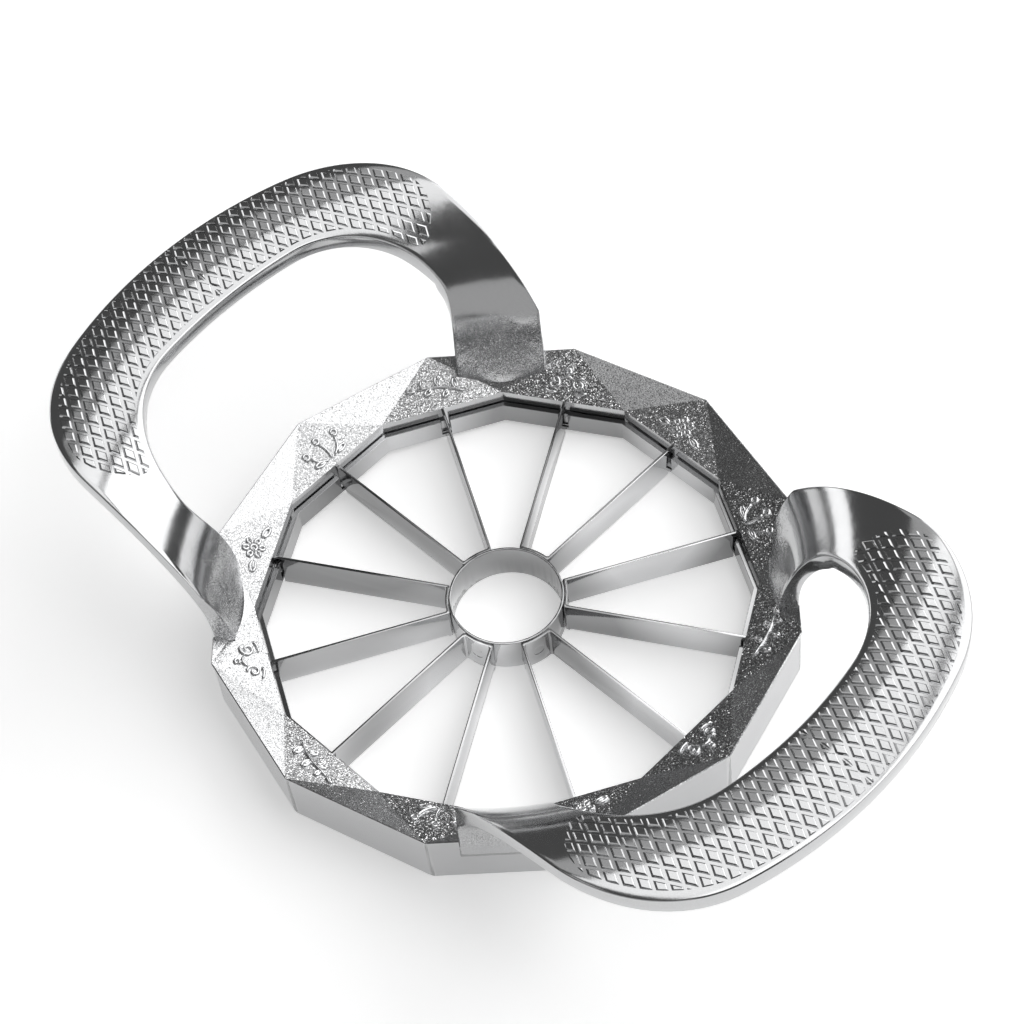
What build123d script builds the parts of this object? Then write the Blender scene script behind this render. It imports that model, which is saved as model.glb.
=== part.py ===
"""Twelve-blade apple divider: a faceted cast ring with two looped strap handles.

Origin: on the ring's axis, in the plane that the ring and the blades rest on.
+X runs through the tip of one handle, +Z is up, sizes are millimetres.
"""

from build123d import *
import math
import os

# ---------------------------------------------------------------- driving sizes
blade_pairs = 6               # folded strips, two blades each

# ring casting
opening_radius = 52.5         # opening, centre to corner
crown_width = 9.4             # opening's flat to the rim's flat
rim_height = 14.0             # base to the crown's outer edge
crown_drop = 4.4              # the opening's edge lies this much lower
casting_wall = 2.2            # skirt and crown
inner_wall = 2.0              # wall round the opening
rim_edge = 1.0                # crisp edge of the crown above the skirt
rim_overhang = 0.25           # the skirt stands back by this
rim_chamfer = 0.25
skirt_corner = 3.0            # rounding of the skirt's upright corners

# blades
blade_thickness = 0.6
blade_height = 8.5
blade_bend = 0.5              # inside radius where the strip turns
bevel_height = 1.2            # ground cutting edge
bevel_depth = 0.25
tab_length = 4.2              # end of the strip, folded behind the band
tab_drop = 0.4                # the tab ends this far under the band's edge

# band round the opening
band_thickness = 0.6
band_bottom = 1.2             # clear of the board
band_top = 6.5
slot_width = 2.1
slot_floor = 2.2              # the band is whole below this height

# core cutter
core_diameter = 24.2
core_wall = 0.6
core_rise = 0.3               # the core stands this much over the blades
weld_diameter = 2.6           # spot weld's mark on each strip's foot
weld_depth = 0.12

# handles
handle_length = 38.3          # skirt's flat to the grip's outer edge
grip_width = 19.2
grip_thickness = 4.0
grip_crest = 8.4              # highest line of the grip, in from its outer edge
grip_hollow = 100.0           # radius of the grip's finger side, seen from above
arm_bulge = 2.1               # the arms stand this much wider than the feet
arm_width = 13.8              # seen from above
outer_corner = 30.0           # grip into arm, outer side
inner_corner = 24.0           # grip into arm, finger side
arch_flats = 24               # the arch is made of this many narrow flats
foot_thickness = 3.3
foot_width = 19.2
foot_depth = 6.5              # a foot goes this far into the rim
arch_sink = 2.5               # the strap leaves the upright this far under the rim
foot_toe = 2.2                # cast fillet inside each foot, at its middle
foot_toe_height = 6.0         # that fillet's height over the rim

fit = 0.05                    # between pieces that seat on each other
weld_gap = 0.03               # between a strip's foot and the core

# ---------------------------------------------------------------- derived sizes
sides = 2 * blade_pairs
half_step = 180 / sides
flat_share = math.cos(math.radians(half_step))
opening_flat = opening_radius * flat_share
rim_flat = opening_flat + crown_width
rim_radius = rim_flat / flat_share
opening_height = rim_height - crown_drop

tab_space = blade_thickness + 2 * fit
band_outer_flat = opening_flat - tab_space
band_inner_flat = band_outer_flat - band_thickness

core_radius = core_diameter / 2
core_height = blade_height + core_rise
strip_inner_radius = core_radius + weld_gap
strip_outer_radius = strip_inner_radius + blade_thickness

foot_angle = 3 * half_step    # the second flat of the rim from the handle's axis
foot_turn = math.radians(foot_angle)
half_foot = foot_width / 2
foot_face = rim_flat - rim_overhang
foot_inner_face = foot_face - foot_thickness
foot_bottom = rim_height - foot_depth
handle_reach = foot_face + handle_length
arch_center = handle_reach - grip_crest
arch_base = rim_height - arch_sink
arch_radius = arch_center - foot_inner_face
under_radius = arch_radius - grip_thickness
arm_spread = foot_face * math.sin(foot_turn) + half_foot * math.cos(foot_turn) + arm_bulge


# ---------------------------------------------------------------- helpers
def corner_point(radius, angle, height=0.0):
    """A point by its radius and its angle round the ring."""
    turn = math.radians(angle)
    return Vector(radius * math.cos(turn), radius * math.sin(turn), height)


def polygon_face(flat, turned):
    """A twelve-sided face; turned puts its corners half a step round."""
    first = half_step if turned else 0
    radius = flat / flat_share
    corners = [corner_point(radius, first + 2 * half_step * k) for k in range(sides)]
    return make_face(Polyline(*corners, close=True))


def polygon_prism(flat, turned, bottom, top):
    face = polygon_face(flat, turned)
    return Pos(0, 0, bottom) * extrude(face, amount=top - bottom, dir=(0, 0, 1))


def crown_funnel(lowered, headroom):
    """The space over the crown: its facets, and straight walls above the rim."""
    inner = []
    outer = []
    top = []
    for k in range(sides):
        step = 2 * half_step * k
        inner.append(corner_point(opening_radius, step + half_step, opening_height - lowered))
        outer.append(corner_point(rim_radius, step, rim_height - lowered))
        top.append(corner_point(rim_radius, step, rim_height + headroom))
    faces = [polygon_of(inner), polygon_of(top)]
    for k in range(sides):
        after = (k + 1) % sides
        faces.append(polygon_of([inner[k], outer[k], outer[after]]))
        faces.append(polygon_of([inner[k], outer[after], inner[after]]))
        faces.append(polygon_of([outer[k], outer[after], top[after], top[k]]))
    return Solid(Shell(faces))


def polygon_of(corners):
    return Face(Wire.make_polygon(corners, close=True))


def vertices_at(shape, point):
    """The shape's corners that lie at one point."""
    return [v for v in shape.vertices() if (Vector(v) - point).length < fit]


# ---------------------------------------------------------------- ring casting
def skirt_body():
    flat = rim_flat - rim_overhang
    skirt = polygon_prism(flat, False, 0, rim_height - rim_edge)
    return fillet(skirt.edges().filter_by(Axis.Z), skirt_corner)


def rim_body():
    rim = polygon_prism(rim_flat, False, rim_height - rim_edge, rim_height)
    lower = rim.faces().sort_by(Axis.Z)[0].edges()
    return chamfer(lower, rim_chamfer)


def channel_under_crown():
    """Hollow of the casting, open below, one wall thickness under the facets."""
    flat_out = rim_flat - rim_overhang - casting_wall
    flat_in = opening_flat + inner_wall
    channel = polygon_prism(flat_out, False, 0, rim_height)
    channel -= polygon_prism(flat_in, True, 0, rim_height)
    return channel - crown_funnel(casting_wall, rim_height)


def foot_pocket():
    """Notch through the rim for one foot on +X, open outwards."""
    start = foot_inner_face * flat_share
    width = foot_width + 2 * fit
    length = rim_radius - start
    height = foot_depth + casting_wall
    floor = Pos(0, 0, foot_bottom - fit)
    notch = floor * Pos(start, 0, 0) * Box(
        length, width, height, align=(Align.MIN, Align.CENTER, Align.MIN))
    behind = floor * Cylinder(
        foot_inner_face - fit, height, align=(Align.CENTER, Align.CENTER, Align.MIN))
    return notch - behind


def make_ring():
    ring = skirt_body() + rim_body()
    ring -= crown_funnel(0, casting_wall)
    ring -= polygon_prism(opening_flat, True, 0, rim_height)
    crisp = ring.edges().filter_by_position(Axis.Z, rim_height - fit, rim_height + fit)
    ring = chamfer(crisp, rim_chamfer)
    ring -= channel_under_crown()
    for angle in (foot_angle, -foot_angle):
        ring -= Rot(0, 0, angle) * foot_pocket()
        ring -= Rot(0, 0, angle + 180) * foot_pocket()
    return ring


# ---------------------------------------------------------------- handles
def shoulder_point(reach, bow, spread, corner):
    """Where the corner's arc ends on the arm; bow is the radius of the grip's edge."""
    along = math.sqrt((bow - corner) ** 2 - (spread - corner) ** 2)
    return Vector(reach - bow + along, spread)


def tip_point(reach, bow, spread, corner):
    """Where the corner's arc meets the arc of the grip."""
    bow_center = Vector(reach - bow, 0)
    corner_center = shoulder_point(reach, bow, spread, corner) - Vector(0, corner)
    return bow_center + (corner_center - bow_center).normalized() * bow


def flipped(point):
    return Vector(point.X, -point.Y)


def on_foot(along, across):
    """A point given along the foot's radius, and across it towards the outer side."""
    turn = math.radians(foot_angle)
    x = along * math.cos(turn) - across * math.sin(turn)
    y = along * math.sin(turn) + across * math.cos(turn)
    return Vector(x, y)


def handle_outline():
    """The loop seen from above: grip, rounded corners, arms and feet."""
    inner_spread = arm_spread - arm_width
    inner_reach = handle_reach - grip_width
    shoulder_out = shoulder_point(handle_reach, handle_reach, arm_spread, outer_corner)
    shoulder_in = shoulder_point(inner_reach, grip_hollow, inner_spread, inner_corner)
    tip_out = tip_point(handle_reach, handle_reach, arm_spread, outer_corner)
    tip_in = tip_point(inner_reach, grip_hollow, inner_spread, inner_corner)
    foot_start = foot_inner_face * flat_share
    foot_out = on_foot(foot_face, half_foot)
    foot_in = on_foot(foot_face, -half_foot)
    end_out = on_foot(foot_start, half_foot)
    end_in = on_foot(foot_start, -half_foot)
    lines = [
        ThreePointArc(tip_out, (handle_reach, 0), flipped(tip_out)),
        ThreePointArc(tip_in, (inner_reach, 0), flipped(tip_in)),
    ]
    for place in (lambda point: point, flipped):
        lines.append(TangentArc(place(shoulder_out), place(tip_out), tangent=(1, 0)))
        lines.append(TangentArc(place(shoulder_out), place(foot_out), tangent=(-1, 0)))
        lines.append(Line(place(foot_out), place(end_out)))
        lines.append(Line(place(end_out), place(end_in)))
        lines.append(Line(place(end_in), place(foot_in)))
        lines.append(TangentArc(place(shoulder_in), place(foot_in), tangent=(-1, 0)))
        lines.append(TangentArc(place(shoulder_in), place(tip_in), tangent=(1, 0)))
    return make_face(lines)


def on_arch(center_x, radius, lean):
    """A point of the side view's arches; lean is counted from the crest, outwards."""
    turn = math.radians(lean)
    return (center_x + radius * math.sin(turn), arch_base + radius * math.cos(turn))


def strap_profile():
    """Side view of the strap: upright foot, arch, and the crowned grip."""
    under_center = foot_face + under_radius
    past_edge = grip_crest + grip_thickness
    end_lean = math.degrees(math.asin(past_edge / under_radius))
    leans = [-90 + (90 + end_lean) * k / arch_flats for k in range(arch_flats + 1)]
    top = [on_arch(arch_center, arch_radius, lean) for lean in leans]
    under = [on_arch(under_center, under_radius, lean) for lean in reversed(leans)]
    foot = [(foot_face, foot_bottom), (foot_inner_face, foot_bottom)]
    return Plane.XZ * make_face(Polyline(*top, *under, *foot, close=True))


def make_strap():
    """The bent strap: its side view turned round the ring's axis, cut to the loop's outline."""
    sweep = 2 * (foot_angle + half_step)
    strap = Rot(0, 0, -sweep / 2) * revolve(strap_profile(), Axis.Z, sweep)
    return strap & extrude(handle_outline(), amount=arch_base + arch_radius, dir=(0, 0, 1))


def foot_block():
    """Squares a foot on +X off to the skirt's flat, up to the rim."""
    middle = (foot_inner_face + foot_face) / 2
    return Pos(middle, 0, foot_bottom) * Box(
        foot_face - middle, foot_width, foot_depth,
        align=(Align.MIN, Align.CENTER, Align.MIN))


def foot_fillet():
    """Cast fillet of a foot on +X: half a cone against its inner face, on the facets."""
    toe_radius = (half_foot ** 2 + foot_toe ** 2) / (2 * foot_toe)
    height = crown_drop + foot_toe_height
    cone = Pos(foot_inner_face - foot_toe + toe_radius, 0, opening_height) * Cone(
        toe_radius, toe_radius - foot_toe, height,
        align=(Align.CENTER, Align.CENTER, Align.MIN))
    near_foot = Pos(foot_inner_face + foot_thickness / 2, 0, opening_height) * Box(
        2 * foot_toe + foot_thickness, foot_width, height,
        align=(Align.MAX, Align.CENTER, Align.MIN))
    facets = Rot(0, 0, -foot_angle) * crown_funnel(0, foot_toe_height)
    return cone & near_foot & facets


def make_handle():
    """One handle, its grip towards +X."""
    handle = make_strap()
    for angle in (foot_angle, -foot_angle):
        handle += Rot(0, 0, angle) * foot_block()
        handle += Rot(0, 0, angle) * foot_fillet()
    return handle


# ---------------------------------------------------------------- blades, band and core
def band_slot(angle, side):
    """Slot open at the top, wider on the side the tab folds to."""
    clear = blade_thickness / 2 + fit
    slot = Pos(band_inner_flat - band_thickness, -side * clear, slot_floor) * Box(
        3 * band_thickness, slot_width, band_top,
        align=(Align.MIN, Align.MIN if side > 0 else Align.MAX, Align.MIN))
    return Rot(0, 0, angle) * slot


def make_band():
    band = polygon_prism(band_outer_flat, True, band_bottom, band_top)
    band -= polygon_prism(band_inner_flat, True, band_bottom, band_top)
    for pair in range(sides // 2):
        middle = pair_angle(pair)
        band -= band_slot(middle + half_step, -1)
        band -= band_slot(middle - half_step, 1)
    return band


def make_core():
    tube = Cylinder(core_radius, core_height, align=(Align.CENTER, Align.CENTER, Align.MIN))
    bore = Cylinder(core_radius - core_wall, core_height,
                    align=(Align.CENTER, Align.CENTER, Align.MIN))
    return tube - bore


def pair_angle(pair):
    """Middle of a folded strip; its two blades lie half a step to either side."""
    return foot_angle + 4 * half_step * pair


def blade_leg(side, start, end):
    """Plan of one blade, from radius start to radius end."""
    leg = Pos(start, 0) * Rectangle(end - start, blade_thickness, align=(Align.MIN, Align.CENTER))
    return Rot(0, 0, side * half_step) * leg


def blade_fold(side):
    """Plan of the strip's end: through the band's slot and folded behind the band."""
    outer = opening_flat - fit
    start = band_inner_flat - 2 * fit
    neck = Pos(start, 0) * Rectangle(outer - start, blade_thickness, align=(Align.MIN, Align.CENTER))
    edge = side * blade_thickness / 2
    tab = Pos(outer, edge) * Rectangle(
        blade_thickness, tab_length,
        align=(Align.MAX, Align.MAX if side > 0 else Align.MIN))
    fold = neck + tab
    fold = fillet(vertices_at(fold, Vector(outer, edge)), 0.9 * blade_thickness)
    return Rot(0, 0, side * half_step) * fold


def strip_plan():
    """Plan of a folded strip: its foot round the core, and two blades."""
    stop = band_inner_flat - fit
    bore = Circle(strip_inner_radius)
    far = 2 * strip_outer_radius
    lean = math.radians(half_step)
    wedge = make_face(Polyline(
        (0, 0),
        (far * math.cos(lean), far * math.sin(lean)),
        (far * math.cos(lean), -far * math.sin(lean)),
        close=True))
    plan = (Circle(strip_outer_radius) & wedge) - bore
    for side in (1, -1):
        plan += blade_leg(side, strip_inner_radius - blade_thickness, stop) - bore
    half = blade_thickness / 2
    for side in (1, -1):
        turn = Rot(0, 0, side * half_step)
        outside = (turn * Pos(math.sqrt(strip_inner_radius ** 2 - half ** 2), side * half)).position
        plan = fillet(vertices_at(plan, outside), 0.9 * blade_thickness)
        inside = (turn * Pos(math.sqrt(strip_outer_radius ** 2 - half ** 2), -side * half)).position
        plan = fillet(vertices_at(plan, inside), blade_bend)
    return plan


def blade_bevel(side):
    """What grinding takes off a blade's lower edge, on the side away from its twin."""
    face = side * blade_thickness / 2
    start = strip_outer_radius + blade_bend
    section = Plane.YZ * make_face(Polyline(
        (face, 0),
        (face - side * bevel_depth, 0),
        (face, bevel_height),
        close=True))
    wedge = extrude(section, amount=band_inner_flat - start, dir=(1, 0, 0))
    return Rot(0, 0, side * half_step) * Pos(start, 0, 0) * wedge


def weld_mark():
    """Shallow round dent in the middle of a strip's foot."""
    dent = Cylinder(weld_diameter / 2, 2 * weld_depth)
    return Pos(strip_outer_radius, 0, blade_height / 2) * Rot(0, 90, 0) * dent


def make_blade_pair():
    """One folded strip: foot, two blades with ground edges, and their tabs."""
    strip = extrude(strip_plan(), amount=blade_height, dir=(0, 0, 1))
    seat = slot_floor + fit
    start = band_inner_flat - 2 * fit
    for side in (1, -1):
        neck = extrude(blade_leg(side, start, opening_flat - fit),
                       amount=blade_height - seat, dir=(0, 0, 1))
        tab = extrude(blade_fold(side), amount=band_top - tab_drop - seat, dir=(0, 0, 1))
        strip += Pos(0, 0, seat) * neck
        strip += Pos(0, 0, seat) * tab
        strip -= blade_bevel(side)
    return strip - weld_mark()


# ---------------------------------------------------------------- write the pieces
def main():
    os.makedirs("parts", exist_ok=True)
    handle = make_handle()
    pieces = {
        "ring_casting": make_ring(),
        "handle_right": handle,
        "handle_left": Rot(0, 0, 180) * handle,
        "blade_band": make_band(),
        "core_ring": make_core(),
    }
    strip = make_blade_pair()
    for pair in range(sides // 2):
        pieces[f"blade_pair_{pair + 1}"] = Rot(0, 0, pair_angle(pair)) * strip
    for name, shape in pieces.items():
        shape.label = name
        export_step(shape, f"parts/{name}.step")


main()
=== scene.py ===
"""The apple divider as it looks: cast ring and handles, steel blades, and a plain studio.

Blender works in metres, so sizes in millimetres are written as 52.5 * mm.
"""
import math
import bmesh
import bpy
from mathutils import Matrix, Vector


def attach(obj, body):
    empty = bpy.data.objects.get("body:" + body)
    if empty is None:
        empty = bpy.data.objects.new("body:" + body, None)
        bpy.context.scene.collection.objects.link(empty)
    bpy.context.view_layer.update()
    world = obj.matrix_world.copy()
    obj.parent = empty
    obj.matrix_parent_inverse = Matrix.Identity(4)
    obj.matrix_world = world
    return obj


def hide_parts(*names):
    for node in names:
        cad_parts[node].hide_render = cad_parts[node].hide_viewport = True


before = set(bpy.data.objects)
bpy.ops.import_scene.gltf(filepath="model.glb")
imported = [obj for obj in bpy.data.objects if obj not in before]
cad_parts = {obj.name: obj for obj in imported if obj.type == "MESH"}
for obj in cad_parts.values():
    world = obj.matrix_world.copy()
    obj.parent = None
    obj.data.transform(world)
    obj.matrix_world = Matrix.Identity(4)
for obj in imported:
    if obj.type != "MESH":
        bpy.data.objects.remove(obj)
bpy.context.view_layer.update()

mm = 0.001

# ---------------------------------------------------------------- sizes of the castings
opening_radius = 52.5 * mm
crown_width = 9.4 * mm
rim_height = 14.0 * mm
crown_drop = 4.4 * mm
rim_overhang = 0.25 * mm
sides = 12
half_step = math.pi / sides
opening_flat = opening_radius * math.cos(half_step)
rim_flat = opening_flat + crown_width
rim_radius = rim_flat / math.cos(half_step)
opening_height = rim_height - crown_drop

handle_length = 38.3 * mm
grip_width = 19.2 * mm
grip_thickness = 4.0 * mm
grip_crest = 8.4 * mm
grip_hollow = 100.0 * mm
arm_bulge = 2.1 * mm
arm_width = 13.8 * mm
outer_corner = 30.0 * mm
inner_corner = 24.0 * mm
foot_thickness = 3.3 * mm
half_foot = 9.6 * mm
foot_depth = 6.5 * mm
arch_sink = 2.5 * mm
foot_toe = 2.2 * mm
foot_toe_height = 6.0 * mm
foot_turn = 3 * half_step
strap_edge = 0.7 * mm
toe_swell = 1.25                  # the fillet's swell for each millimetre of its toe
toe_above_rim = 2 * mm            # it fades out this far over its nominal height
toe_below_crown = 4 * mm          # and is full this far under the opening's edge

band_thickness = 0.6 * mm
band_bottom = 1.2 * mm
band_top = 6.5 * mm
band_lip = 0.45 * mm              # the band's top is turned out over the strips' tabs
band_lip_height = 0.3 * mm
tab_space = 0.7 * mm
slot_width = 2.1 * mm
slot_floor = 2.2 * mm

foot_face = rim_flat - rim_overhang
foot_inner_face = foot_face - foot_thickness
foot_bottom = rim_height - foot_depth
handle_reach = foot_face + handle_length
arch_center = handle_reach - grip_crest
arch_base = rim_height - arch_sink
arch_radius = arch_center - foot_inner_face
under_radius = arch_radius - grip_thickness
under_center = foot_face + under_radius
arm_spread = foot_face * math.sin(foot_turn) + half_foot * math.cos(foot_turn) + arm_bulge

# ---------------------------------------------------------------- how far edges are rounded
ring_edge = 0.14 * mm
core_edge = 0.15 * mm
blade_edge = 0.12 * mm
band_edge = 0.1 * mm

# ---------------------------------------------------------------- how finely the pieces are divided
plan_steps = 200                  # points on each arc of the strap's plan
arc_stations = 26                 # cross-sections along the grip's half, and along the corner
arm_stations = 40
strap_columns = 14                # faces across the strap
foot_rows = 4
merge_distance = 0.002 * mm
flat_angle = math.radians(0.4)    # triangles that turn by less are one face
rounded_angle = math.radians(28)  # edges that turn by more are rounded
crown_facing = 0.6                # upward share of the normal, above which a face is the crown's
largest_rounded = 8 * mm * mm     # larger faces of the ring are flat ones

# ---------------------------------------------------------------- sizes of the chequering
diamond_spacing = 3.1 * mm        # along the grip
diamond_pitch = 2.68 * mm         # from row to row
diamond_height = 0.39 * mm
diamond_sink = 0.15 * mm          # how far a diamond goes into the strap
diamond_top = 0.52                # share of the cell that is flat on top
diamond_foot = 0.84               # share of the cell at the sunk foot
shoulder_drop = 0.12 * mm         # the top's edges fall gently before the steep walls
field_end = 61.4 * mm             # the field's rounded ends, along X
field_stations = 74               # the field ends before this many of the strap's stations
field_rounding = 5.5 * mm         # length of the field's rounded end
first_row = 80.55 * mm
lattice_rows, lattice_columns = 10, 19
seam_gap = 0.3 * mm               # the pattern is broken at the middle of the grip
seam_share = 0.12                 # a row begins this share of a cell before the seam

# ---------------------------------------------------------------- sizes of the crown's figures
figure_line = 0.9 * mm
figure_height = 0.55 * mm
figure_scale = 1.1
figure_tip = 0.35                 # a line narrows to this share at its ends


# ---------------------------------------------------------------- small helpers
def smooth_step(low, high, value):
    share = min(max((value - low) / (high - low), 0.0), 1.0)
    return share * share * (3 - 2 * share)


def blend(first, second, share):
    return first + (second - first) * share


def new_object(name, mesh):
    piece = bpy.data.objects.new(name, mesh)
    bpy.context.scene.collection.objects.link(piece)
    return piece


def mesh_of(bm, name):
    mesh = bpy.data.meshes.new(name)
    bm.to_mesh(mesh)
    bm.free()
    return mesh


def dressed(piece, slot, material, *nodes):
    """Puts a piece on the object, in place of the CAD nodes named."""
    piece.data.materials.clear()
    piece.data.materials.append(material)
    if nodes:
        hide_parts(*nodes)
    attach(piece, "root")
    return piece


class Sums:
    """Short names for sums on node sockets, shared by the materials and the geometry tree."""

    def add(self, first, second):
        return self.math("ADD", first, second)

    def subtract(self, first, second):
        return self.math("SUBTRACT", first, second)

    def times(self, first, second):
        return self.math("MULTIPLY", first, second)


# ---------------------------------------------------------------- materials
class Recipe(Sums):
    """A material's nodes, written a line at a time."""

    def __init__(self, name, color, roughness, metallic=1.0):
        self.material = bpy.data.materials.new(name)
        self.material.use_nodes = True
        self.nodes = self.material.node_tree.nodes
        self.links = self.material.node_tree.links
        self.shader = self.nodes["Principled BSDF"]
        self.shader.inputs["Base Color"].default_value = (*color, 1)
        self.shader.inputs["Roughness"].default_value = roughness
        self.shader.inputs["Metallic"].default_value = metallic
        self.place = self.nodes.new("ShaderNodeTexCoord").outputs["Object"]

    def link(self, source, target):
        if isinstance(source, (int, float)):
            target.default_value = source
        else:
            self.links.new(source, target)

    def math(self, operation, first, second=0.0):
        node = self.nodes.new("ShaderNodeMath")
        node.operation = operation
        for socket, value in zip(node.inputs, (first, second)):
            self.link(value, socket)
        return node.outputs[0]

    def mixed(self, first, second, share):
        """The first value where the share is 1, the second where it is 0."""
        return self.add(self.times(first, share), self.times(second, self.subtract(1.0, share)))

    def parts_of(self, vector):
        node = self.nodes.new("ShaderNodeSeparateXYZ")
        self.links.new(vector, node.inputs[0])
        return tuple(node.outputs)

    def stretched(self, scale):
        """The place on the piece, with patterns drawn out where the scale is small."""
        node = self.nodes.new("ShaderNodeMapping")
        self.links.new(self.place, node.inputs["Vector"])
        node.inputs["Scale"].default_value = scale
        return node.outputs[0]

    def noise(self, size, detail=2.0, rough=0.5, place=None):
        """Noise whose lumps are about one size across."""
        node = self.nodes.new("ShaderNodeTexNoise")
        self.links.new(place or self.place, node.inputs["Vector"])
        node.inputs["Scale"].default_value = 1 / size
        node.inputs["Detail"].default_value = detail
        node.inputs["Roughness"].default_value = rough
        return node.outputs["Fac"]

    def ramp(self, value, low, high, start, end):
        """Goes from start to end while the value goes from low to high."""
        node = self.nodes.new("ShaderNodeMapRange")
        self.link(value, node.inputs["Value"])
        ends = {"From Min": low, "From Max": high, "To Min": start, "To Max": end}
        for name, number in ends.items():
            node.inputs[name].default_value = number
        return node.outputs[0]

    def grey(self, value):
        """A neutral metal colour whose brightness follows a value."""
        cool = (0.985, 0.99, 1.0)
        node = self.nodes.new("ShaderNodeCombineColor")
        for socket, tint in zip(node.inputs, cool):
            self.links.new(self.times(value, tint), socket)
        self.links.new(node.outputs[0], self.shader.inputs["Base Color"])

    def roughen(self, value):
        self.links.new(value, self.shader.inputs["Roughness"])

    def bump(self, height, depth, strength):
        node = self.nodes.new("ShaderNodeBump")
        self.link(height, node.inputs["Height"])
        self.link(strength, node.inputs["Strength"])
        node.inputs["Distance"].default_value = depth
        self.links.new(node.outputs[0], self.shader.inputs["Normal"])
        return node.outputs[0]

    def facets(self, normal, size, tilt):
        """Crystal-like grains: each leans its own way, most a little and a few a lot."""
        cells = self.nodes.new("ShaderNodeTexVoronoi")
        self.links.new(self.place, cells.inputs["Vector"])
        cells.inputs["Scale"].default_value = 1 / size
        chance = self.nodes.new("ShaderNodeTexWhiteNoise")
        self.links.new(cells.outputs["Position"], chance.inputs["Vector"])
        lean = self.vector("SUBTRACT", cells.outputs["Color"], (0.5, 0.5, 0.5))
        amount = self.times(self.math("POWER", chance.outputs["Value"], 2.0), tilt)
        lean = self.vector("SCALE", lean, amount)
        leant = self.vector("NORMALIZE", self.vector("ADD", normal, lean))
        self.links.new(leant, self.shader.inputs["Normal"])
        return chance.outputs["Value"]

    def vector(self, operation, first, second=None):
        node = self.nodes.new("ShaderNodeVectorMath")
        node.operation = operation
        self.links.new(first, node.inputs[0])
        if operation == "SCALE":
            self.links.new(second, node.inputs["Scale"])
        elif isinstance(second, tuple):
            node.inputs[1].default_value = second
        elif second:
            self.links.new(second, node.inputs[1])
        return node.outputs[0]


def ring_metal():
    """Cast ring: sparkling grain on the crown, coarsest on its figured facets, and a smooth skirt."""
    recipe = Recipe("ring_casting_metal", (0.5, 0.5, 0.51), 0.22)
    x, y, _ = recipe.parts_of(recipe.place)
    turn = recipe.math("PINGPONG", recipe.math("ARCTAN2", y, x), half_step)
    radius = recipe.math("SQRT", recipe.add(recipe.times(x, x), recipe.times(y, y)))
    along = recipe.times(radius, recipe.math("COSINE", turn))
    across = recipe.times(radius, recipe.math("SINE", turn))
    taper = opening_radius * math.sin(half_step) / (rim_radius - opening_flat)
    edge = recipe.times(recipe.subtract(rim_radius, along), taper)
    figured = recipe.ramp(recipe.subtract(edge, across), -0.05 * mm, 0.1 * mm, 0.0, 1.0)
    facing = recipe.nodes.new("ShaderNodeNewGeometry").outputs["True Normal"]
    crown = recipe.math("GREATER_THAN", recipe.parts_of(facing)[2], crown_facing)
    grainy = recipe.times(figured, crown)
    fine = recipe.noise(0.22 * mm, detail=1.0, rough=0.6)
    rough = recipe.bump(fine, depth=0.4 * mm, strength=recipe.add(recipe.times(crown, 0.06), 0.015))
    tilt = recipe.add(recipe.times(grainy, 0.4), recipe.times(crown, 0.38))
    chance = recipe.facets(rough, size=0.2 * mm, tilt=tilt)
    cloud = recipe.noise(9 * mm, detail=3.0)
    recipe.roughen(recipe.add(recipe.times(crown, 0.03), recipe.ramp(cloud, 0.3, 0.7, 0.13, 0.19)))
    pits = recipe.ramp(chance, 0.0, 1.0, 0.3, 0.84)
    plain = recipe.add(0.54, recipe.times(crown, recipe.ramp(fine, 0.38, 0.62, -0.12, 0.14)))
    recipe.grey(recipe.mixed(pits, plain, grainy))
    return recipe.material


def figure_metal():
    """The raised figures: the casting's own metal, smoother, and lighter as a painted highlight that makes
    the strokes stand out; tone and smoothness vary at random.
    """
    recipe = Recipe("crown_figure_metal", (0.6, 0.6, 0.61), 0.14)
    rub_and_sheen = recipe.noise(0.5 * mm)
    recipe.roughen(recipe.ramp(rub_and_sheen, 0.3, 0.7, 0.1, 0.2))
    # painted highlight: the figures are lighter than the casting so that their strokes read bright; the
    # noise varies their tone at random
    recipe.grey(recipe.ramp(rub_and_sheen, 0.3, 0.7, 0.66, 0.8))
    return recipe.material


def handle_metal():
    """Handle casting: bright and smooth on the grip, with a sandy cast skin low on the arms.

    The skin ends higher on the handle towards -X, and it is rubbed smooth where a foot
    meets the ring.
    """
    recipe = Recipe("handle_casting_metal", (0.54, 0.54, 0.55), 0.13)
    x, _, z = recipe.parts_of(recipe.place)
    cloud = recipe.noise(5 * mm, detail=3.0)
    level = recipe.add(z, recipe.ramp(cloud, 0.3, 0.7, -3 * mm, 3 * mm))
    level = recipe.add(level, recipe.ramp(x, -30 * mm, 60 * mm, 0.0, 6 * mm))
    rubbed = recipe.ramp(z, 10.5 * mm, rim_height, 0.1, 1.0)
    sandy = recipe.times(rubbed, recipe.ramp(level, 17 * mm, 27 * mm, 1.0, 0.0))
    grain = recipe.noise(0.24 * mm, rough=0.65)
    lumps = recipe.noise(2.6 * mm, detail=1.0)
    coarse = recipe.add(grain, recipe.times(lumps, 4.0))
    rough = recipe.bump(coarse, depth=0.3 * mm, strength=recipe.add(recipe.times(sandy, 0.24), 0.012))
    recipe.facets(rough, size=0.2 * mm, tilt=recipe.times(sandy, 0.8))
    recipe.roughen(recipe.add(recipe.times(sandy, 0.06), recipe.ramp(cloud, 0.3, 0.7, 0.1, 0.15)))
    pits = recipe.ramp(grain, 0.38, 0.62, 0.26, 0.8)
    smooth = recipe.ramp(grain, 0.3, 0.7, 0.52, 0.57)
    recipe.grey(recipe.mixed(pits, smooth, sandy))
    return recipe.material


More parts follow.
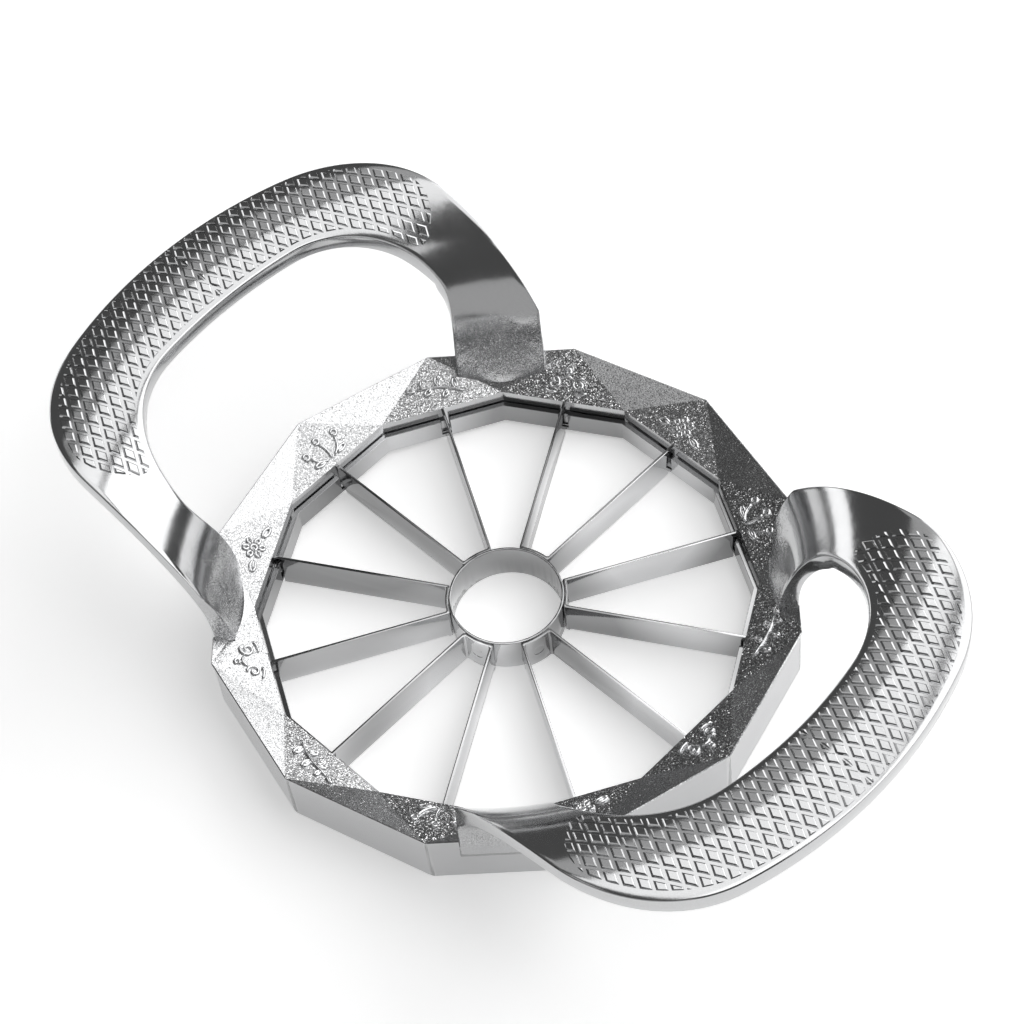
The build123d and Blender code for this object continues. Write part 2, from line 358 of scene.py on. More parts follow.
def blade_metal():
    """Bright strip steel: a faint brushing along the blades, and a slow change of brightness that is painted
    shade, standing in for the reflections that change along the blades.
    """
    recipe = Recipe("blade_steel_metal", (0.5, 0.505, 0.51), 0.12)
    brushing = recipe.noise(0.3 * mm, rough=0.6, place=recipe.stretched((0.04, 0.04, 1.0)))
    cloud = recipe.noise(30 * mm, detail=0.0)
    recipe.bump(brushing, depth=0.006 * mm, strength=0.1)
    recipe.roughen(recipe.ramp(cloud, 0.3, 0.7, 0.1, 0.14))
    # painted shade: the colour goes darker and lighter over large soft patches, standing in for the changing
    # reflections along the blades
    recipe.grey(recipe.ramp(cloud, 0.38, 0.62, 0.3, 0.64))
    return recipe.material


def floor_paint():
    """White floor that takes a shadow; it glows a little to the camera and in reflections."""
    glow = 0.42
    recipe = Recipe("floor_white", (0.92, 0.92, 0.92), 0.9, 0.0)
    recipe.shader.inputs["Emission Color"].default_value = (1, 1, 1, 1)
    rays = recipe.nodes.new("ShaderNodeLightPath").outputs
    seen = recipe.math("MAXIMUM", rays["Is Camera Ray"], rays["Is Glossy Ray"])
    seen = recipe.math("MAXIMUM", seen, rays["Is Transmission Ray"])
    recipe.links.new(recipe.times(seen, glow), recipe.shader.inputs["Emission Strength"])
    return recipe.material


# ---------------------------------------------------------------- softened copies of the CAD pieces
def softened(node, edge, slot, material):
    """A copy of a CAD piece with its triangles merged into clean faces and its edges rounded."""
    bm = bmesh.new()
    bm.from_mesh(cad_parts[node].data)
    bmesh.ops.remove_doubles(bm, verts=bm.verts, dist=merge_distance)
    bmesh.ops.dissolve_limit(bm, angle_limit=flat_angle, verts=bm.verts, edges=bm.edges)
    for face in bm.faces:
        face.smooth = True
    piece = new_object(f"{node}_finished", mesh_of(bm, node))
    round_edges(piece, edge)
    return dressed(piece, slot, material, node)


def round_edges(piece, width):
    rounding = piece.modifiers.new("rounded edges", "BEVEL")
    rounding.width = width
    rounding.segments = 2
    rounding.limit_method = "ANGLE"
    rounding.angle_limit = rounded_angle
    rounding.harden_normals = True


def seal_notches(ring):
    """The ring's edges stay sharp where the handles' feet fill their notches; its facets stay flat."""
    mesh = ring.data
    weight = mesh.attributes.new("bevel_weight_edge", "FLOAT", "EDGE")
    bm = bmesh.new()
    bm.from_mesh(mesh)
    bm.edges.index_update()
    for edge in bm.edges:
        angle = edge.calc_face_angle(0) if len(edge.link_faces) == 2 else 0
        middle = (edge.verts[0].co + edge.verts[1].co) / 2
        rounded = angle > rounded_angle and not in_notch(middle)
        weight.data[edge.index].value = 1.0 if rounded else 0.0
    bm.free()
    for face in mesh.polygons:
        face.use_smooth = face.normal.z < crown_facing and face.area < largest_rounded
    ring.modifiers[0].limit_method = "WEIGHT"


def in_notch(point):
    """Whether a point of the ring lies on a side, the back or the floor of a foot's notch."""
    near = 0.4 * mm
    for turn in (foot_turn, math.pi - foot_turn, math.pi + foot_turn, -foot_turn):
        along = point.x * math.cos(turn) + point.y * math.sin(turn)
        across = abs(point.y * math.cos(turn) - point.x * math.sin(turn))
        above = point.z > foot_bottom - near
        outside = along > foot_inner_face - near
        side = abs(across - half_foot) < near and outside and along < foot_face + near
        back = across < half_foot and abs(along - foot_inner_face) < near
        floor = across < half_foot and outside and abs(point.z - foot_bottom) < near
        if above and (side or back or floor):
            return True
    return False


# ---------------------------------------------------------------- band
def make_band(material):
    """Twelve-sided steel band: slots open at the top, and its top edge turned out over the tabs."""
    inner = opening_flat - tab_space - band_thickness
    outer = opening_flat - tab_space
    lip = outer + band_lip
    under_lip = band_top - band_lip_height
    section = ((inner, band_bottom), (inner, slot_floor), (inner, band_top), (lip, band_top),
               (lip, under_lip), (outer, under_lip), (outer, slot_floor), (outer, band_bottom))
    low = (0, 1, 6, 7)                # the section's points below a slot
    slot_end = (1, 2, 3, 4, 5, 6)     # and those beside it
    bm = bmesh.new()

    def ring(side, across):
        spin = Matrix.Rotation(2 * half_step * side, 3, "Z")
        return [bm.verts.new(spin @ Vector((out, across(out), height))) for out, height in section]

    corners = [ring(side, lambda out: out * math.tan(half_step)) for side in range(sides)]
    for side in range(sides):
        start = ring(side, lambda out: -slot_width / 2)
        end = ring(side, lambda out: slot_width / 2)
        for first, second in ((corners[side - 1], start), (end, corners[side])):
            for k in range(len(section)):
                n = (k + 1) % len(section)
                bm.faces.new((first[k], first[n], second[n], second[k]))
        for k, n in zip(low, low[1:] + low[:1]):
            bm.faces.new((start[k], start[n], end[n], end[k]))
        bm.faces.new([start[k] for k in slot_end])
        bm.faces.new([end[k] for k in reversed(slot_end)])
    bmesh.ops.recalc_face_normals(bm, faces=bm.faces)
    for face in bm.faces:
        face.smooth = True
    piece = new_object("blade_band_finished", mesh_of(bm, "band"))
    round_edges(piece, band_edge)
    return dressed(piece, "blade_steel", material, "blade_band")


# ---------------------------------------------------------------- handle
def corner_arc(reach, bow, spread, corner):
    """Centre of a corner's arc, tangent to the grip's edge and to the arm's widest line."""
    along = math.sqrt((bow - corner) ** 2 - (spread - corner) ** 2)
    return Vector((reach - bow + along, spread - corner))


def on_foot(along, across):
    """A point of the foot seen from above, by its place along and across the foot's own line."""
    x = along * math.cos(foot_turn) - across * math.sin(foot_turn)
    y = along * math.sin(foot_turn) + across * math.cos(foot_turn)
    return Vector((x, y))


def around(center, radius, start, end, count):
    """Points on an arc, from one angle to another."""
    points = []
    for k in range(count + 1):
        turn = blend(start, end, k / count)
        points.append(center + radius * Vector((math.cos(turn), math.sin(turn))))
    return points


def edge_line(reach, bow, spread, corner, side):
    """Half of the loop's edge seen from above: grip, corner, and arm down to the foot."""
    center = corner_arc(reach, bow, spread, corner)
    bow_center = Vector((reach - bow, 0))
    tip = math.atan2(center.y - bow_center.y, center.x - bow_center.x)
    grip = around(bow_center, bow, 0, tip, plan_steps)
    bend = around(center, corner, tip, math.pi / 2, plan_steps)
    shoulder = bend[-1]
    foot = on_foot(foot_face, side * half_foot)
    drop = shoulder.y - foot.y
    arm_radius = ((foot.x - shoulder.x) ** 2 + drop ** 2) / (2 * drop)
    arm_center = Vector((shoulder.x, shoulder.y - arm_radius))
    end = math.atan2(foot.y - arm_center.y, foot.x - arm_center.x)
    arm = around(arm_center, arm_radius, math.pi / 2, end, plan_steps)
    root = on_foot(math.sqrt(foot_inner_face ** 2 - half_foot ** 2), side * half_foot)
    steps = 40
    arm += [blend(foot, root, k / steps) for k in range(1, steps + 1)]
    return grip, bend, arm


def at_radius(line, radius):
    """The point of a line that runs inwards at one distance from the ring's axis."""
    for before, after in zip(line, line[1:]):
        if after.length <= radius:
            span = before.length - after.length
            return blend(before, after, (before.length - radius) / span if span else 0)
    return line[-1]


def lean_of(radius, center, arch):
    """How far an arch has turned from its crest at a distance from the ring's axis."""
    return math.asin(min(max((radius - center) / arch, -1.0), 1.0))


def under_lean(lean):
    """Lean of the underside opposite a top edge: plumb on the grip, square to the strap at the foot."""
    radius = arch_center + arch_radius * math.sin(lean)
    plumb = lean_of(radius, under_center, under_radius)
    square_below, plumb_above = math.radians(-62), math.radians(-34)
    return blend(lean, plumb, smooth_step(square_below, plumb_above, lean))


def on_top(lean, turn):
    """A point of the strap's top, with the cast fillet that swells at each foot."""
    radius = arch_center + arch_radius * math.sin(lean)
    height = arch_base + arch_radius * math.cos(lean)
    return swollen(radius, height, turn)


def swollen(radius, height, turn):
    """A point moved towards the ring's axis by the fillet inside the foot."""
    across = foot_face * math.sin(abs(turn) - foot_turn) / half_foot
    full = opening_height - toe_below_crown
    gone = rim_height + foot_toe_height + toe_above_rim
    low = 1 - smooth_step(full, gone, height)
    swell = foot_toe * max(1 - across ** 2, 0) * low * toe_swell
    return Vector(((radius - swell) * math.cos(turn), (radius - swell) * math.sin(turn), height))


def on_under(lean, turn):
    """A point of the strap's underside, squared off to the skirt's flat at the foot."""
    radius = under_center + under_radius * math.sin(lean)
    flat = foot_face / math.cos(abs(turn) - foot_turn) - foot_face
    radius += flat * (1 - smooth_step(math.radians(-90), math.radians(-68), lean))
    return Vector((radius * math.cos(turn), radius * math.sin(turn),
                   arch_base + under_radius * math.cos(lean)))


def strap_stations():
    """Pairs of edge points from one foot over the grip's middle: lean and turn, top and under."""
    outer = edge_line(handle_reach, handle_reach, arm_spread, outer_corner, 1)
    inner = edge_line(handle_reach - grip_width, grip_hollow, arm_spread - arm_width, inner_corner, -1)
    half = []
    for part in (0, 1):
        for k in range(arc_stations):
            index = round(plan_steps * k / arc_stations)
            half.append([lines_at(line[part], index) for line in (outer, inner)])
    for k in range(arm_stations + 1):
        pair = []
        for line in (outer, inner):
            arm = line[2]
            first = lean_of(arm[0].length, arch_center, arch_radius)
            pair.append(arm_station(arm, blend(first, -math.pi / 2, k / arm_stations)))
        half.append(pair)
    return half


def lines_at(line, index):
    """An edge's station on the grip or the corner: the wall between top and underside is plumb."""
    point = line[index]
    turn = math.atan2(point.y, point.x)
    lean = lean_of(point.length, arch_center, arch_radius)
    return lean, turn, under_lean(lean), turn


def arm_station(arm, lean):
    """An edge's station on the arm, where the wall turns from plumb to square across the strap."""
    top = at_radius(arm, arch_center + arch_radius * math.sin(lean))
    low = under_lean(lean)
    bottom = at_radius(arm, under_center + under_radius * math.sin(low))
    return lean, math.atan2(top.y, top.x), low, math.atan2(bottom.y, bottom.x)


def strap_loops():
    """Cross-sections of the strap, top and underside, from one foot's end to the other's."""
    half = strap_stations()
    mirrored = [[(a, -b, c, -d) for a, b, c, d in pair] for pair in reversed(half[1:])]
    loops = []
    for outer, inner in mirrored + half:
        top = []
        under = []
        for k in range(strap_columns + 1):
            share = k / strap_columns
            top.append(on_top(blend(outer[0], inner[0], share), blend(outer[1], inner[1], share)))
            under.append(on_under(blend(inner[2], outer[2], share), blend(inner[3], outer[3], share)))
        loops.append((top, under))
    return loops


def foot_loops(loop):
    """A foot goes straight down from the arch into its notch."""
    top, under = loop
    lower = []
    for k in range(1, foot_rows + 1):
        height = blend(arch_base, foot_bottom, k / foot_rows)
        inside = []
        for point in top:
            turn = math.atan2(point.y, point.x)
            inside.append(swollen(foot_inner_face, height, turn))
        lower.append((inside, [Vector((p.x, p.y, height)) for p in under]))
    return lower


def make_handle_mesh():
    """The strap loop of one handle, grip towards +X, its edges above the feet marked to be rounded."""
    loops = strap_loops()
    loops = list(reversed(foot_loops(loops[0]))) + loops + foot_loops(loops[-1])
    bm = bmesh.new()
    soft = bm.edges.layers.float.new("bevel_weight_edge")
    rings = []
    for top, under in loops:
        middle_in = (top[-1] + under[0]) / 2
        middle_out = (under[-1] + top[0]) / 2
        ring = [*top, middle_in, *under, middle_out]
        rings.append([bm.verts.new(point) for point in ring])
    count = len(rings[0])
    last = len(loops[0][0]) - 1
    corners = (0, last, last + 2, count - 2)
    for before, after in zip(rings, rings[1:]):
        for k in range(count):
            n = (k + 1) % count
            bm.faces.new((before[k], before[n], after[n], after[k]))
    bm.faces.new(reversed(rings[0]))
    bm.faces.new(rings[-1])
    bmesh.ops.recalc_face_normals(bm, faces=bm.faces)
    for face in bm.faces:
        face.smooth = True
    over_feet = rings[foot_rows:-foot_rows]
    for before, after in zip(over_feet, over_feet[1:]):
        for k in corners:
            bm.edges.get((before[k], after[k]))[soft] = 1.0
    return mesh_of(bm, "handle")


def make_handle(node, turn, material):
    mesh = make_handle_mesh()
    mesh.transform(Matrix.Rotation(turn, 4, "Z"))
    piece = new_object(f"{node}_finished", mesh)
    rounding = piece.modifiers.new("rounded edges", "BEVEL")
    rounding.width = strap_edge
    rounding.segments = 3
    rounding.limit_method = "WEIGHT"
    return dressed(piece, "handle_cast", material, node)


# ---------------------------------------------------------------- raised figures on the crown
def on_facet(corner, across, up, lift):
    """A point of one figured facet: across it, up its slope from the opening, and off it."""
    slope = math.atan2(crown_drop, rim_radius - opening_flat)
    out = opening_flat + up * math.cos(slope) - lift * math.sin(slope)
    height = opening_height + up * math.sin(slope) + lift * math.cos(slope)
    turn = 2 * half_step * corner
    return Vector((out * math.cos(turn) - across * math.sin(turn),
                   out * math.sin(turn) + across * math.cos(turn), height))


def bow(start, end, bulge, count=10):
    """A gently bent line; bulge is how far its middle stands off the straight one."""
    first, last = Vector(start), Vector(end)
    side = Vector((first.y - last.y, last.x - first.x)).normalized()
    points = []
    for k in range(count + 1):
        off = side * bulge * math.sin(math.pi * k / count)
        points.append(blend(first, last, k / count) + off)
    return points


def leaf(root, aim, length, width):
    """Two bent sides and a rib."""
    turn = math.radians(aim)
    tip = Vector(root) + length * Vector((math.cos(turn), math.sin(turn)))
    rib = blend(Vector(root), tip, 0.72)
    return [bow(root, tip, width / 2), bow(root, tip, -width / 2), bow(root, rib, 0.0, 4)]


def ring_line(center, radius, count=14):
    """A closed circle, as one line."""
    return [around(Vector(center), radius, 0, 2 * math.pi, count)]


def curl(center, radius, aim, turns, way, count=22):
    """A spiral that opens outwards from near its middle."""
    inmost = 0.18
    points = []
    for k in range(count + 1):
        share = k / count
        turn = math.radians(aim) + way * 2 * math.pi * turns * share
        out = radius * blend(inmost, 1.0, share)
        points.append(Vector(center) + out * Vector((math.cos(turn), math.sin(turn))))
    return [points]


def sprig():
    """A bent stem with leaves to both sides; all figures are drawn in millimetres on the facet."""
    lines = [bow((-5.4, 2.3), (4.2, 4.9), 0.7, 14)]
    leaves = (((-3.6, 3.3), 95, 2.4), ((-2.2, 3.5), -42, 2.1), ((-0.4, 4.5), 92, 2.3),
              ((0.9, 4.4), -28, 2.2), ((2.6, 4.9), 88, 1.6))
    for root, aim, size in leaves:
        lines += leaf(root, aim, size, size * 0.42)
    return lines + leaf((4.2, 4.9), 8, 2.0, 0.8)


def blossom():
    """Six petals round a ring, and a leaf on each side."""
    middle = Vector((0.3, 3.9))
    lines = ring_line(middle, 0.62)
    for k in range(6):
        aim = 60 * k + 12
        turn = math.radians(aim)
        petal = middle + 0.85 * Vector((math.cos(turn), math.sin(turn)))
        lines += leaf(petal, aim, 1.45, 0.95)[:2]
    return lines + leaf((-2.4, 3.0), 196, 2.9, 1.1) + leaf((2.9, 3.2), -12, 2.7, 1.1)


def twin_curls():
    """Two spirals joined by a bow, with a dot over them and a dash under each."""
    lines = curl((-2.5, 3.7), 1.5, 20, 1.3, 1) + curl((2.6, 3.5), 1.35, 160, 1.2, -1)
    bows = (((-1.0, 4.7), (1.3, 4.4), 0.6), ((-4.4, 2.3), (-1.6, 1.7), -0.3), ((1.6, 1.7), (4.4, 2.2), -0.3))
    lines += [bow(start, end, bulge, 8) for start, end, bulge in bows]
    return lines + ring_line((0.1, 6.2), 0.5, 10)


def seed_heads():
    """Three stems with round heads, and a leaf on each side."""
    lines = []
    stems = (((-0.6, 1.5), (-3.4, 4.6), 0.6), ((0.0, 1.4), (0.2, 5.4), 0.3), ((0.6, 1.5), (3.5, 4.2), -0.6))
    for root, tip, bulge in stems:
        lines.append(bow(root, tip, bulge))
        lines += ring_line((tip[0] * 1.12, tip[1] + 0.6), 0.62, 12)
    return lines + leaf((-1.4, 1.7), 172, 2.8, 0.9) + leaf((1.4, 1.7), 8, 2.8, 0.9)


def ridge(bm, corner, points):
    """A rounded ridge along a line on a facet, half sunk in it."""
    half = figure_line / 2
    section = ((-1.0, -0.6), (-0.6, 0.6), (0.0, 1.0), (0.6, 0.6), (1.0, -0.6))
    rows = []
    last = len(points) - 1
    for k, point in enumerate(points):
        ahead = (points[min(k + 1, last)] - points[max(k - 1, 0)]).normalized()
        side = Vector((-ahead.y, ahead.x))
        thin = figure_tip if k in (0, last) else 1.0
        row = []
        for across, lift in section:
            spot = point * figure_scale * mm + side * across * half * thin
            height = lift * figure_height * (thin if lift > 0 else 1)
            row.append(bm.verts.new(on_facet(corner, spot.x, spot.y, height)))
        rows.append(row)
    for before, after in zip(rows, rows[1:]):
        for k in range(len(section)):
            n = (k + 1) % len(section)
            bm.faces.new((before[k], after[k], after[n], before[n]))
    bm.faces.new(rows[0])
    bm.faces.new(reversed(rows[-1]))


def make_figures(material):
    """Raised line figures on the twelve figured facets, four designs in turn."""
    bm = bmesh.new()
    designs = (sprig(), twin_curls(), blossom(), seed_heads())
    for corner in range(sides):
        for points in designs[(corner * 3 + 1) % len(designs)]:
            ridge(bm, corner, points)
    bmesh.ops.recalc_face_normals(bm, faces=bm.faces)
    for face in bm.faces:
        face.smooth = True
    return dressed(new_object("crown_figures", mesh_of(bm, "figures")), "ring_cast", material)


# ---------------------------------------------------------------- chequering
def field_edges():
    """Plan of the chequered field on one half of the handle: outer and inner border points."""
    half = strap_stations()
    borders = []
    for index, (outer, inner) in enumerate(half[:field_stations]):
        share = min(index / (2 * arc_stations), 1.0)
        outside = plan_of(outer)
        inside = plan_of(inner)
        span = (inside - outside).length
        margin_out = blend(0.97 * mm, 2.3 * mm, smooth_step(0.1, 0.9, share))
        margin_in = blend(1.1 * mm, 1.8 * mm, share)
        borders.append([blend(outside, inside, margin_out / span), blend(inside, outside, margin_in / span)])
    return borders


def plan_of(station):
    """Where a station's top edge stands, seen from above."""
    radius = arch_center + arch_radius * math.sin(station[0])
    return Vector((radius * math.cos(station[1]), radius * math.sin(station[1])))


def field_outline():
    """Closed outline of the half field, with a rounded end towards the foot."""
    blunt = 0.02                      # keeps the very end from closing to a point
    outer = []
    inner = []
    for outside, inside in field_edges():
        middle = (outside + inside) / 2
        if middle.x < field_end:
            break
        near = min((middle.x - field_end) / field_rounding + blunt, 1.0)
        share = math.sqrt(1 - (1 - near) ** 2)
        outer.append(blend(middle, outside, share))
        inner.append(blend(middle, inside, share))
    for line in (outer, inner):
        line[0] = Vector((line[0].x, seam_gap / 2))
    return outer + inner[::-1]


def field_prism(side):
    """Closed block over the field, in flat measure, with leaning walls."""
    outline = field_outline()
    count = len(outline)
    bm = bmesh.new()
    rows = []
    half_height, lean = 1.0 * mm, 0.3 * mm
    for height, inset in ((-half_height, -lean), (half_height, lean)):
        row = []
        for k, point in enumerate(outline):
            along = (outline[(k + 1) % count] - outline[k - 1]).normalized()
            inward = Vector((-along.y, along.x))
            moved = point + inward * inset
            row.append(bm.verts.new((moved.x, moved.y * side, height)))
        rows.append(row)
    for k in range(count):
        n = (k + 1) % count
        bm.faces.new((rows[0][k], rows[0][n], rows[1][n], rows[1][k]))
    bm.faces.new(rows[0])
    bm.faces.new(rows[1])
    bmesh.ops.triangulate(bm, faces=[f for f in bm.faces if len(f.verts) > 4])
    bmesh.ops.recalc_face_normals(bm, faces=bm.faces)
    return mesh_of(bm, "field")


class Tree(Sums):
    """A geometry node tree with named sizes."""

    def __init__(self, name):
        self.tree = bpy.data.node_groups.new(name, "GeometryNodeTree")
        self.tree.interface.new_socket("Geometry", in_out="INPUT", socket_type="NodeSocketGeometry")
        self.tree.interface.new_socket("Geometry", in_out="OUTPUT", socket_type="NodeSocketGeometry")
        self.start = self.tree.nodes.new("NodeGroupInput")
        self.end = self.tree.nodes.new("NodeGroupOutput")

    def size(self, name, value, kind="NodeSocketFloat"):
        socket = self.tree.interface.new_socket(name, in_out="INPUT", socket_type=kind)
        if value is not None:
            socket.default_value = value
        return self.start.outputs[name]

    def node(self, kind, inputs=None, **settings):
        node = self.tree.nodes.new(kind)
        for name, value in settings.items():
            setattr(node, name, value)
        for key, value in (inputs or {}).items():
            self.link(value, node.inputs[key])
        return node

    def link(self, source, target):
        if isinstance(source, bpy.types.NodeSocket):
            self.tree.links.new(source, target)
        else:
            target.default_value = source

    def math(self, operation, first, second=0.0):
        return self.node("ShaderNodeMath", {0: first, 1: second}, operation=operation).outputs[0]

    def point(self, x, y, z):
        return self.node("ShaderNodeCombineXYZ", {0: x, 1: y, 2: z}).outputs[0]


def diamond_tree():
    """Rows of flat-topped diamonds, cut to the field and laid over the arch."""
    tree = Tree("chequering")
    spacing = tree.size("Spacing", diamond_spacing)
    pitch = tree.size("Row pitch", diamond_pitch)
    height = tree.size("Height", diamond_height)
    top = tree.size("Top share", diamond_top)
    foot = tree.size("Foot share", diamond_foot)
    side = tree.size("Side", 1.0)
    first = tree.size("First row", first_row)
    center = tree.size("Arch centre", arch_center)
    radius = tree.size("Arch radius", arch_radius)
    base = tree.size("Arch base", arch_base)
    finish = tree.size("Material", None, "NodeSocketMaterial")
    sink = tree.size("Sink", diamond_sink)
    drop = tree.size("Shoulder drop", shoulder_drop)
    depth = tree.add(height, sink)
    diamond = tree.node("GeometryNodeMeshCone", {
        "Vertices": 4, "Side Segments": 2, "Radius Top": top, "Radius Bottom": foot, "Depth": depth})
    corner = tree.node("ShaderNodeSeparateXYZ", {0: tree.node("GeometryNodeInputPosition").outputs[0]})
    level = corner.outputs[2]
    rise = tree.subtract(tree.times(depth, 0.5), drop)
    bow_up = tree.math("DIVIDE", tree.times(rise, 4.0), tree.times(depth, depth))
    bulge = tree.times(tree.times(level, tree.subtract(depth, level)), bow_up)
    shouldered = tree.node("GeometryNodeSetPosition", {
        "Geometry": diamond.outputs["Mesh"], "Offset": tree.point(0.0, 0.0, bulge)})
    shaped = tree.node("GeometryNodeTransform", {
        "Geometry": shouldered.outputs[0],
        "Translation": tree.point(0.0, 0.0, tree.times(sink, -1.0)),
        "Scale": tree.point(pitch, tree.times(spacing, 0.5), 1.0)})
    lattices = tree.node("GeometryNodeJoinGeometry")
    for shift in (0.0, 0.5):
        long_pitch = tree.times(pitch, 2.0)
        grid = tree.node("GeometryNodeMeshGrid", {
            "Size X": tree.times(long_pitch, lattice_rows - 1.0),
            "Size Y": tree.times(spacing, lattice_columns - 1.0),
            "Vertices X": lattice_rows, "Vertices Y": lattice_columns})
        start = tree.subtract(first, tree.times(pitch, lattice_rows + 2 * shift))
        x = tree.add(start, tree.times(long_pitch, (lattice_rows - 1) / 2 + 2 * shift))
        y = tree.times(spacing, (lattice_columns - 1) / 2 - seam_share - shift)
        moved = tree.node("GeometryNodeTransform", {
            "Geometry": grid.outputs["Mesh"],
            "Translation": tree.point(x, tree.times(y, side), 0.0)})
        tree.tree.links.new(moved.outputs[0], lattices.inputs[0])
    placed = tree.node("GeometryNodeInstanceOnPoints", {
        "Points": lattices.outputs[0], "Instance": shaped.outputs[0]})
    solid = tree.node("GeometryNodeRealizeInstances", {0: placed.outputs[0]})
    cut = tree.node("GeometryNodeMeshBoolean", operation="INTERSECT")
    tree.tree.links.new(solid.outputs[0], cut.inputs["Mesh 2"])
    tree.tree.links.new(tree.start.outputs["Geometry"], cut.inputs["Mesh 2"])
    spot = tree.node("GeometryNodeInputPosition")
    x, y, z = tree.node("ShaderNodeSeparateXYZ", {0: spot.outputs[0]}).outputs
    plan = tree.math("SQRT", tree.add(tree.times(x, x), tree.times(y, y)))
    sine = tree.math("DIVIDE", tree.subtract(plan, center), radius)
    cosine = tree.math("SQRT", tree.subtract(1.0, tree.times(sine, sine)))
    lifted = tree.add(radius, tree.math("MAXIMUM", z, tree.times(sink, -1.0)))
    share = tree.math("DIVIDE", tree.add(center, tree.times(lifted, sine)), plan)
    raised = tree.add(base, tree.times(lifted, cosine))
    bent = tree.node("GeometryNodeSetPosition", {
        "Geometry": cut.outputs["Mesh"],
        "Position": tree.point(tree.times(x, share), tree.times(y, share), raised)})
    whole = tree.node("GeometryNodeRealizeInstances", {0: bent.outputs[0]})
    painted = tree.node("GeometryNodeSetMaterial", {"Geometry": whole.outputs[0], "Material": finish})
    tree.tree.links.new(painted.outputs[0], tree.end.inputs[0])
    return tree.tree


def grown(name, mesh, tree, sizes):
    """Runs a tree on a mesh and keeps the result as a plain mesh."""
    carrier = new_object(name, mesh)
    modifier = carrier.modifiers.new("tree", "NODES")
    modifier.node_group = tree
    for item in tree.interface.items_tree:
        if item.in_out == "INPUT" and item.name in sizes:
            modifier[item.identifier] = sizes[item.name]
    evaluated = carrier.evaluated_get(bpy.context.evaluated_depsgraph_get())
    result = bpy.data.meshes.new_from_object(evaluated)
    bpy.data.objects.remove(carrier)
    return result


def make_chequering(name, turn, tree, material):
    """Both halves of one handle's chequering, as one piece."""
    bm = bmesh.new()
    for side in (1.0, -1.0):
        mesh = grown("half_field", field_prism(side), tree, {"Side": side, "Material": material})
        bm.from_mesh(mesh)
    bm.transform(Matrix.Rotation(turn, 4, "Z"))
    mesh = mesh_of(bm, name)
    follow_arch(mesh)
    return dressed(new_object(name, mesh), "handle_cast", material)


def arch_normal(point):
    """Which way the arch faces under a point."""
    plan = math.hypot(point.x, point.y)
    sine = (plan - arch_center) / arch_radius
    return Vector((sine * point.x / plan, sine * point.y / plan, math.sqrt(1 - sine * sine)))


def follow_arch(mesh):
    """The diamonds' tops shade as part of the arch; their walls stay flat."""
    top_facing = 0.96
    normals = [Vector((0, 0, 1))] * len(mesh.loops)
    for face in mesh.polygons:
        face.use_smooth = True
        top = face.normal.dot(arch_normal(face.center)) > top_facing
        for loop, vertex in zip(face.loop_indices, face.vertices):
            normals[loop] = arch_normal(mesh.vertices[vertex].co) if top else face.normal.copy()
    mesh.normals_split_custom_set(normals)


# ---------------------------------------------------------------- studio
def aim_camera():
    """The photograph's view: a long lens from above the handle on +X, a little rolled.

    Its angles, distance, shift and focal length were fitted to corners in the photograph.
    """
    azimuth, elevation, roll = (math.radians(v) for v in (50.405, 54.60, -7.62))
    away = 583.57 * mm
    shift = Vector((1.63 * mm, 14.26 * mm))
    back = Vector((math.sin(azimuth) * math.cos(elevation), -math.cos(azimuth) * math.cos(elevation),
                   math.sin(elevation)))
    right = Vector((math.cos(azimuth), math.sin(azimuth), 0))
    up = back.cross(right)
    rolled_right = math.cos(roll) * right + math.sin(roll) * up
    rolled_up = math.cos(roll) * up - math.sin(roll) * right
    place = Vector((0, 0, rim_height)) + away * back + shift.x * rolled_right + shift.y * rolled_up
    lens = bpy.data.cameras.new("camera")
    lens.sensor_width = 36
    lens.lens = 99.694
    lens.clip_start = 0.01
    camera = bpy.data.objects.new("camera", lens)
    camera.matrix_world = Matrix((rolled_right, rolled_up, back)).transposed().to_4x4()
    camera.matrix_world.translation = place
    bpy.context.scene.collection.objects.link(camera)
    bpy.context.scene.camera = camera


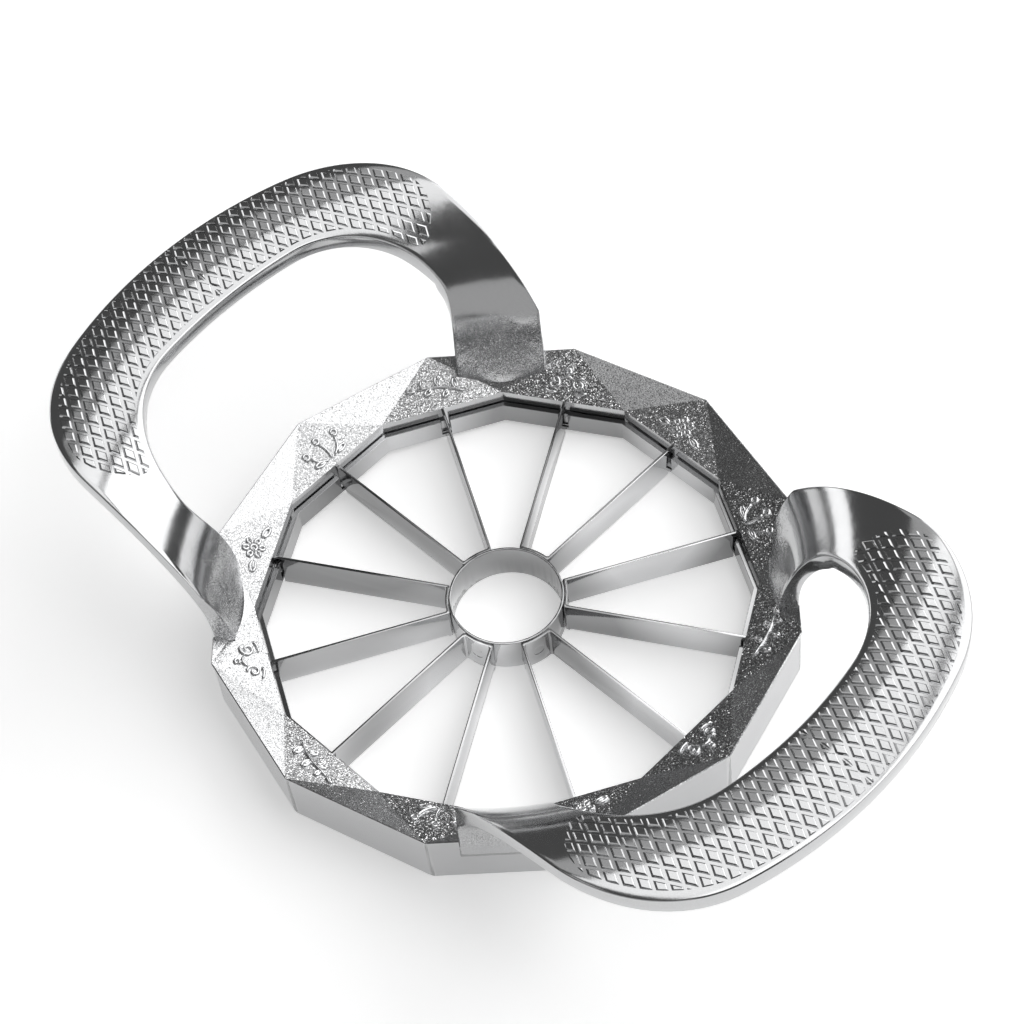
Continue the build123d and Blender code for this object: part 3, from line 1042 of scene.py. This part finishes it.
def hang_lamp(name, azimuth, elevation, wide, high, level, away):
    """A soft box round the object; level is how bright its face looks."""
    turn, rise = math.radians(azimuth), math.radians(elevation)
    toward = Vector((math.cos(turn) * math.cos(rise), math.sin(turn) * math.cos(rise), math.sin(rise)))
    lamp = bpy.data.lights.new(name, "AREA")
    lamp.shape = "RECTANGLE"
    lamp.size, lamp.size_y = wide, high
    lamp.energy = level * math.pi * wide * high
    box = bpy.data.objects.new(name, lamp)
    box.rotation_mode = "QUATERNION"
    box.rotation_quaternion = toward.to_track_quat("Z", "Y")
    box.location = toward * away
    bpy.context.scene.collection.objects.link(box)


def light_studio():
    """Soft boxes: name, azimuth and elevation in degrees, width, height, level and distance."""
    boxes = (
        ("main_box", 67, 36, 2.45, 1.0, 2.0, 1.2),
        ("top_box", 72, 74, 1.36, 0.55, 1.4, 1.2),
        ("step_box", 128, 48, 0.8, 0.42, 0.45, 1.3),
        ("back_strip", 183, 12, 0.4, 0.26, 1.7, 1.2),
        ("low_strip", 112, 4, 0.5, 0.18, 1.2, 1.2),
        ("left_box", -62, 18, 1.5, 0.75, 0.45, 1.2),
        ("near_box", -118, 62, 0.62, 0.36, 0.62, 1.2),
        ("right_box", 5, 60, 0.6, 0.5, 0.9, 1.2),
    )
    for box in boxes:
        hang_lamp(*box)
    world = bpy.data.worlds.new("room")
    world.use_nodes = True
    background = world.node_tree.nodes["Background"]
    background.inputs["Color"].default_value = (1, 1, 1, 1)
    background.inputs["Strength"].default_value = 0.1
    bpy.context.scene.world = world


def lay_floor():
    """A wide white floor, a hair under the object so that the two never share a face."""
    reach = 8.0
    gap = 0.02 * mm
    bm = bmesh.new()
    bmesh.ops.create_grid(bm, x_segments=1, y_segments=1, size=reach)
    floor = new_object("floor", mesh_of(bm, "floor"))
    floor.data.transform(Matrix.Translation((0, 0, -gap)))
    floor.data.materials.append(floor_paint())


# ---------------------------------------------------------------- the whole object
def main():
    bpy.context.scene.view_settings.view_transform = "Standard"
    aim_camera()
    light_studio()
    lay_floor()
    ring = ring_metal()
    handle = handle_metal()
    steel = blade_metal()
    make_figures(figure_metal())
    casting = softened("ring_casting", ring_edge, "ring_cast", ring)
    make_band(steel)
    softened("core_ring", core_edge, "blade_steel", steel)
    seal_notches(casting)
    for pair in range(sides // 2):
        softened(f"blade_pair_{pair + 1}", blade_edge, "blade_steel", steel)
    tree = diamond_tree()
    for node, turn in (("handle_right", 0), ("handle_left", math.pi)):
        make_handle(node, turn, handle)
        make_chequering(f"{node}_chequering", turn, tree, handle)


main()
